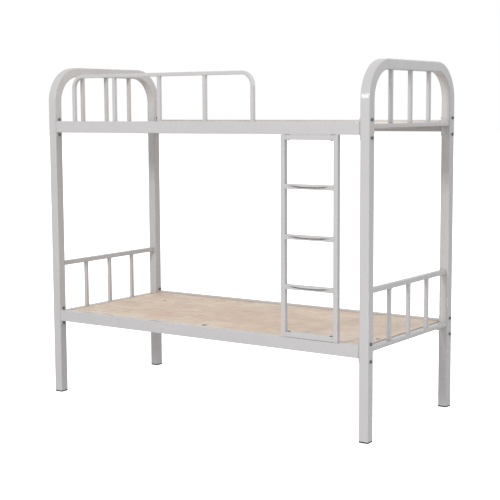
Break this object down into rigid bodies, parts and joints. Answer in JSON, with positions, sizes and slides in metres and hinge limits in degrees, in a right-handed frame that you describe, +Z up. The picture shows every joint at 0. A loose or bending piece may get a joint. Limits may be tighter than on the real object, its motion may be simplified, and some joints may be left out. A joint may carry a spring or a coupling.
{
  "type": "bunk bed",
  "caption": "Bunk bed of square steel tube with bent end hoops, a fixed front ladder, a guard rail along the upper front and lift-out plywood decks.",
  "frame": {"origin": "centre of the footprint, on the floor under the four feet", "axes": "+X along the bed towards the ladder end, -Y the ladder side, +Z up"},
  "size_m": [2.0138, 0.9, 1.8],
  "materials": {
    "grey_enamel": "glossy stoved enamel, light grey",
    "plywood": "unfinished plywood, pale pinkish tan",
    "black_plastic": "moulded, matt black",
    "dark_zinc": "zinc plated, dull grey"
  },
  "bodies": {
    "frame": {"left_end_hoop": "grey_enamel", "right_end_hoop": "grey_enamel", "left_upper_cross_rail": "grey_enamel", "right_upper_cross_rail": "grey_enamel", "left_lower_cross_rail": "grey_enamel", "right_lower_cross_rail": "grey_enamel", "left_arch_baluster_front": "grey_enamel", "left_arch_baluster_middle": "grey_enamel", "left_arch_baluster_back": "grey_enamel", "right_arch_baluster_front": "grey_enamel", "right_arch_baluster_middle": "grey_enamel", "right_arch_baluster_back": "grey_enamel", "left_end_guard_rail": "grey_enamel", "right_end_guard_rail": "grey_enamel", "left_end_baluster_front": "grey_enamel", "left_end_baluster_middle": "grey_enamel", "left_end_baluster_back": "grey_enamel", "right_end_baluster_front": "grey_enamel", "right_end_baluster_middle": "grey_enamel", "right_end_baluster_back": "grey_enamel", "front_left_foot": "black_plastic", "front_right_foot": "black_plastic", "back_left_foot": "black_plastic", "back_right_foot": "black_plastic", "front_upper_rail": "grey_enamel", "back_upper_rail": "grey_enamel", "front_lower_rail": "grey_enamel", "back_lower_rail": "grey_enamel", "front_upper_end_plates": "grey_enamel", "back_upper_end_plates": "grey_enamel", "front_lower_end_plates": "grey_enamel", "back_lower_end_plates": "grey_enamel", "upper_crossbar_1": "grey_enamel", "upper_crossbar_2": "grey_enamel", "upper_crossbar_3": "grey_enamel", "upper_crossbar_4": "grey_enamel", "upper_crossbar_5": "grey_enamel", "lower_crossbar_1": "grey_enamel", "lower_crossbar_2": "grey_enamel", "lower_crossbar_3": "grey_enamel", "lower_crossbar_4": "grey_enamel", "lower_crossbar_5": "grey_enamel", "guard_hoop": "grey_enamel", "guard_upright_left": "grey_enamel", "guard_upright_middle": "grey_enamel", "guard_upright_right": "grey_enamel", "ladder_left_stile": "grey_enamel", "ladder_right_stile": "grey_enamel", "ladder_top_bar": "grey_enamel", "ladder_bottom_bar": "grey_enamel", "ladder_top_rung": "grey_enamel", "ladder_middle_rung": "grey_enamel", "ladder_bottom_rung": "grey_enamel", "ladder_bolts": "dark_zinc", "ladder_rivet_nuts": "dark_zinc", "frame_bolts": "dark_zinc", "frame_nuts": "dark_zinc", "frame_washers": "dark_zinc"},
    "lower_board": {"lower_board": "plywood"},
    "upper_board": {"upper_board": "plywood"}
  },
  "joints": [
    {"name": "lower_board_lift_out", "type": "slide", "parent": "frame", "child": "lower_board", "axis": [0, 0, 1], "range_m": [0, 0.3]},
    {"name": "upper_board_lift_out", "type": "slide", "parent": "frame", "child": "upper_board", "axis": [0, 0, 1], "range_m": [0, 0.35]}
  ]
}
